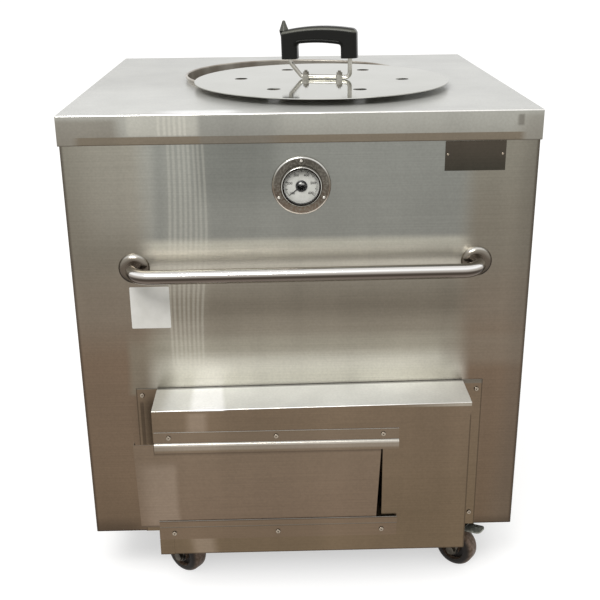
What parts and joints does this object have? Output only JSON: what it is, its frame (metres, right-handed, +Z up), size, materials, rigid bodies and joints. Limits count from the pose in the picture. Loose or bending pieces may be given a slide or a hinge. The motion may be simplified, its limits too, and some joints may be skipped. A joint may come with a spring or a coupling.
{
  "type": "tandoor oven",
  "caption": "Square stainless steel tandoor on swivel casters: clay-lined round mouth with a loose lid, push rail, dial thermometer and a draft box with a sliding door.",
  "frame": {"origin": "on the floor, under the middle of the bounding box at rest", "axes": "+Z up; the draft box and the rail are on the -Y side; +X is to the right of someone facing the front"},
  "size_m": [0.818, 0.908, 1.0454],
  "materials": {
    "brushed_panel": "satin",
    "brushed_top": "satin",
    "bright_collar": "satin",
    "polished_lid": "polished",
    "bent_rod": "satin",
    "bright_fixings": "polished",
    "grip_plastic": "gloss",
    "polished_tube": "polished",
    "gauge_metal": "satin",
    "gauge_face": "matte",
    "gauge_window": "polished",
    "gauge_needle": "satin",
    "frame_iron": "satin",
    "fired_clay": "matte",
    "hearth_castable": "matte",
    "packed_wool": "matte",
    "rope_seal": "matte",
    "grate_iron": "matte",
    "zinc_steel": "satin",
    "caster_tread": "matte",
    "pedal_paint": "satin"
  },
  "bodies": {
    "cabinet": {"front_panel": "brushed_panel", "left_panel": "brushed_panel", "right_panel": "brushed_panel", "rear_panel": "brushed_panel", "draft_box": "brushed_panel", "box_left_cheek": "brushed_panel", "box_right_cheek": "brushed_panel", "upper_door_rail": "brushed_panel", "lower_door_rail": "brushed_panel", "air_duct": "brushed_panel", "top_cover": "brushed_top", "mouth_collar": "bright_collar", "push_rail": "polished_tube", "left_rosette": "polished_tube", "right_rosette": "polished_tube", "rail_nuts": "zinc_steel", "gauge_bezel": "gauge_metal", "gauge_case": "gauge_metal", "gauge_nut": "gauge_metal", "gauge_stem": "gauge_metal", "gauge_dial": "gauge_face", "gauge_glass": "gauge_window", "base_frame": "frame_iron", "base_plate": "frame_iron", "corner_post_front_left": "frame_iron", "corner_post_front_right": "frame_iron", "corner_post_rear_left": "frame_iron", "corner_post_rear_right": "frame_iron", "clay_pot": "fired_clay", "hearth_slab": "hearth_castable", "insulation": "packed_wool", "pot_rim_seal": "rope_seal", "charcoal_grate": "grate_iron", "draft_box_screws": "zinc_steel", "door_rail_screws": "zinc_steel", "caster_bolts": "zinc_steel", "caster_plate_front_left": "zinc_steel", "caster_plate_front_right": "zinc_steel", "caster_plate_rear_left": "zinc_steel", "caster_plate_rear_right": "zinc_steel"},
    "door": {"sliding_door": "brushed_panel"},
    "lid": {"lid_plate": "polished_lid", "lid_bail": "bent_rod", "bail_fixings": "bright_fixings", "lid_grip": "grip_plastic"},
    "pointer": {"gauge_pointer": "gauge_needle"},
    "fork_front_left": {"caster_fork_front_left": "zinc_steel", "caster_axle_front_left": "zinc_steel"},
    "wheel_front_left": {"caster_wheel_front_left": "caster_tread"},
    "pedal_front_left": {"brake_pedal_front_left": "pedal_paint"},
    "fork_front_right": {"caster_fork_front_right": "zinc_steel", "caster_axle_front_right": "zinc_steel"},
    "wheel_front_right": {"caster_wheel_front_right": "caster_tread"},
    "pedal_front_right": {"brake_pedal_front_right": "pedal_paint"},
    "fork_rear_left": {"caster_fork_rear_left": "zinc_steel", "caster_axle_rear_left": "zinc_steel"},
    "wheel_rear_left": {"caster_wheel_rear_left": "caster_tread"},
    "fork_rear_right": {"caster_fork_rear_right": "zinc_steel", "caster_axle_rear_right": "zinc_steel"},
    "wheel_rear_right": {"caster_wheel_rear_right": "caster_tread"}
  },
  "joints": [
    {"name": "door_slide", "type": "slide", "parent": "cabinet", "child": "door", "axis": [1, 0, 0], "range_m": [-0.317, 0.0295]},
    {"name": "lid_lift", "type": "slide", "parent": "cabinet", "child": "lid", "axis": [0, 0, 1], "range_m": [0, 0.3]},
    {"name": "pointer_turn", "type": "hinge", "parent": "cabinet", "child": "pointer", "pos_m": [0, -0.355, 0.797], "axis": [0, 1, 0], "range_deg": [0, 256], "stiffness_Nm_per_rad": 0.002},
    {"name": "swivel_front_left", "type": "hinge", "parent": "cabinet", "child": "fork_front_left", "pos_m": [-0.2724, -0.2937, 0.1], "axis": [0, 0, 1], "continuous": true},
    {"name": "roll_front_left", "type": "hinge", "parent": "fork_front_left", "child": "wheel_front_left", "pos_m": [-0.23615, -0.32202, 0.04], "axis": [0.6157, 0.788, 0], "continuous": true},
    {"name": "brake_front_left", "type": "hinge", "parent": "fork_front_left", "child": "pedal_front_left", "pos_m": [-0.22433, -0.33126, 0.087], "axis": [0.6157, 0.788, 0], "range_deg": [0, 16]},
    {"name": "swivel_front_right", "type": "hinge", "parent": "cabinet", "child": "fork_front_right", "pos_m": [0.2724, -0.2937, 0.1], "axis": [0, 0, 1], "continuous": true},
    {"name": "roll_front_right", "type": "hinge", "parent": "fork_front_right", "child": "wheel_front_right", "pos_m": [0.30865, -0.32202, 0.04], "axis": [0.6157, 0.788, 0], "continuous": true},
    {"name": "brake_front_right", "type": "hinge", "parent": "fork_front_right", "child": "pedal_front_right", "pos_m": [0.32047, -0.33126, 0.087], "axis": [0.6157, 0.788, 0], "range_deg": [0, 16]},
    {"name": "swivel_rear_left", "type": "hinge", "parent": "cabinet", "child": "fork_rear_left", "pos_m": [-0.2724, 0.3887, 0.1], "axis": [0, 0, 1], "continuous": true},
    {"name": "roll_rear_left", "type": "hinge", "parent": "fork_rear_left", "child": "wheel_rear_left", "pos_m": [-0.23615, 0.36038, 0.04], "axis": [0.6157, 0.788, 0], "continuous": true},
    {"name": "swivel_rear_right", "type": "hinge", "parent": "cabinet", "child": "fork_rear_right", "pos_m": [0.2724, 0.3887, 0.1], "axis": [0, 0, 1], "continuous": true},
    {"name": "roll_rear_right", "type": "hinge", "parent": "fork_rear_right", "child": "wheel_rear_right", "pos_m": [0.30865, 0.36038, 0.04], "axis": [0.6157, 0.788, 0], "continuous": true}
  ]
}
